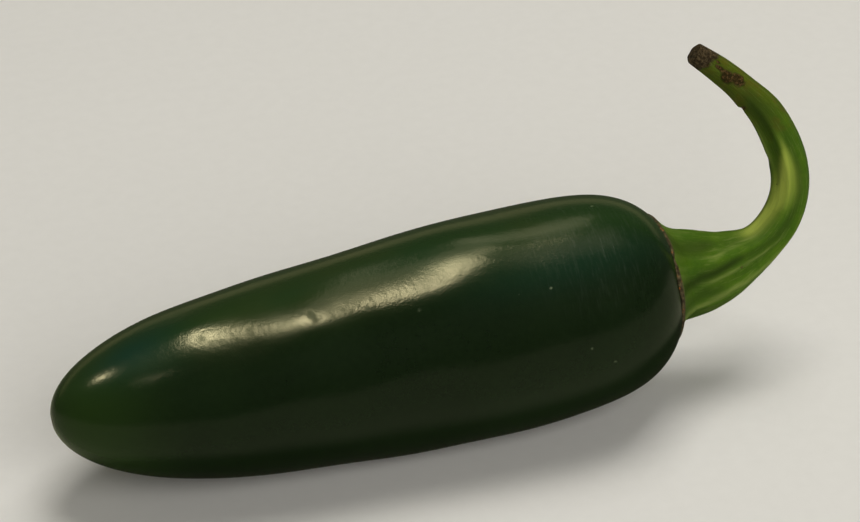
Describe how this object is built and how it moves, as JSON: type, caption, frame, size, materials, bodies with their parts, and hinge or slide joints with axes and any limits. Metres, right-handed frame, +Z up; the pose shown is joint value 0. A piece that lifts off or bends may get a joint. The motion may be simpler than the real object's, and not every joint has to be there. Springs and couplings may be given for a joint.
{
  "type": "chilli pepper",
  "caption": "Fresh green chilli pepper, picked with its stalk: a blunt glossy pod lying on its belly, with a ribbed stalk that hooks upwards",
  "frame": {"origin": "on the table, under the middle of the pepper's bounding box", "axes": "+X along the pod from its tip to the stalk, +Z up from the table, +Y to the side that the stalk's hook leans to"},
  "size_m": [0.1088, 0.0302, 0.0464],
  "materials": {
    "skin": "waxy, glossy, very dark green skin with a faint orange-peel waviness",
    "calyx": "matt green cap with a brown corky edge",
    "stem": "satin green, fibrous along its ribs, brown at the cut end"
  },
  "bodies": {
    "root": {"pod": "skin", "calyx": "calyx", "stem": "stem"}
  },
  "joints": []
}
